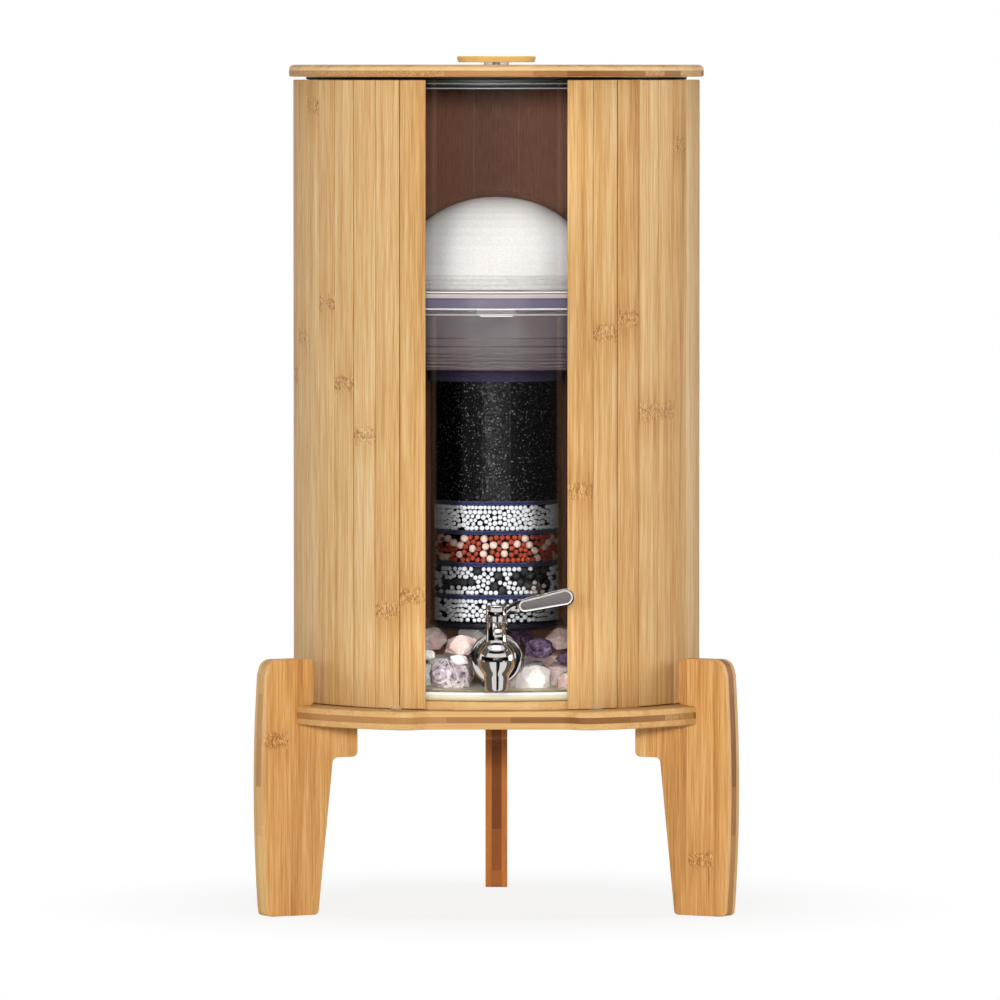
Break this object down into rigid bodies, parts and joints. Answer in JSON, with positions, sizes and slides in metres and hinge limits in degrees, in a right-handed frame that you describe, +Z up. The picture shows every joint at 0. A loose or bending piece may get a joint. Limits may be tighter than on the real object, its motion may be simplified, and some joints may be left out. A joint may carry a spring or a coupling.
{
  "type": "gravity water filter with tap",
  "caption": "Countertop gravity water filter: nested clear tanks with a ceramic dome and layered cartridge, in a slatted bamboo cover on a three-legged stand, with a lever tap.",
  "frame": {"origin": "on the axis of the tanks at floor level, under the stand", "axes": "+Z up along the tanks' axis, the tap faces -Y, +X to the right seen from the front"},
  "size_m": [0.3436, 0.3817, 0.6073],
  "materials": {
    "bamboo_plate": "matt oiled bamboo ply",
    "bamboo_leg": "matt oiled bamboo ply",
    "bamboo_slat": "matt oiled bamboo",
    "bamboo_lid": "matt oiled bamboo ply",
    "brown_fabric": "fine ribbed weave",
    "clear_silicone": "clear soft",
    "clear_tank": "clear polished",
    "tinted_plastic": "tinted translucent",
    "rose_quartz": "rough translucent",
    "amethyst": "rough crystalline",
    "clear_quartz": "rough milky",
    "polished_steel": "mirror polished",
    "plain_steel": "satin",
    "black_seal": "soft matt",
    "white_seal": "soft matt",
    "lever_grip": "fine matt",
    "ceramic": "unglazed fine",
    "white_plastic": "satin moulded",
    "clear_cartridge": "clear polished",
    "black_plastic": "matt moulded",
    "blue_pad": "felted",
    "carbon": "glittering granules",
    "white_beads": "matt beads",
    "red_beads": "matt beads",
    "mixed_beads": "matt beads"
  },
  "bodies": {
    "stand": {"base_plate": "bamboo_plate", "locating_disc": "bamboo_plate", "leg_back": "bamboo_leg", "leg_left": "bamboo_leg", "leg_right": "bamboo_leg", "cover_bumpers": "clear_silicone", "lower_tank": "clear_tank", "stones_rose_quartz": "rose_quartz", "stones_amethyst": "amethyst", "stones_clear_quartz": "clear_quartz", "tap_body": "polished_steel", "tap_flange": "polished_steel", "tap_outer_seal": "black_seal", "tap_inner_seal": "white_seal", "tap_nut": "plain_steel"},
    "cover": {"slat_cover": "bamboo_slat", "cover_backing": "brown_fabric"},
    "lever": {"tap_cap": "polished_steel", "valve_plug": "plain_steel", "lever_arm": "polished_steel", "lever_inset": "lever_grip"},
    "upper": {"upper_tank": "clear_tank", "stacking_ring": "tinted_plastic", "ceramic_dome": "ceramic", "dome_base": "white_plastic", "dome_washer": "white_seal", "stem_nut": "white_plastic"},
    "cartridge_thread": {"neck_gasket": "white_seal"},
    "cartridge": {"cartridge_cap": "clear_cartridge", "cartridge_body": "clear_cartridge", "cartridge_base": "black_plastic", "cartridge_pads": "blue_pad", "carbon_bed": "carbon", "beads_white_upper": "white_beads", "beads_red": "red_beads", "beads_mixed": "mixed_beads", "beads_white_lower": "white_beads"},
    "lid": {"lid_board": "bamboo_lid", "lid_ring": "black_seal", "lid_knob": "bamboo_lid", "knob_washer": "clear_silicone", "knob_screw": "plain_steel"}
  },
  "joints": [
    {"name": "cover_turn", "type": "hinge", "parent": "stand", "child": "cover", "pos_m": [0, 0, 0.1485], "axis": [0, 0, 1], "range_deg": [-10, 10]},
    {"name": "lever_turn", "type": "hinge", "parent": "stand", "child": "lever", "pos_m": [0, -0.175, 0.185], "axis": [0, 0, 1], "range_deg": [-90, 0]},
    {"name": "upper_lift", "type": "slide", "parent": "stand", "child": "upper", "axis": [0, 0, 1], "range_m": [0, 0.4]},
    {"name": "lid_lift", "type": "slide", "parent": "upper", "child": "lid", "axis": [0, 0, 1], "range_m": [0, 0.1]},
    {"name": "cartridge_drop", "type": "slide", "parent": "upper", "child": "cartridge_thread", "axis": [0, 0, 1], "range_m": [-0.0061, 0]},
    {"name": "cartridge_turn", "type": "hinge", "parent": "cartridge_thread", "child": "cartridge", "pos_m": [0, 0, 0.4], "axis": [0, 0, 1], "range_deg": [-1080, 0]}
  ],
  "couplings": [
    {"joint": "cartridge_drop", "follows": "cartridge_turn", "m_per_rad": 0.00031831}
  ]
}
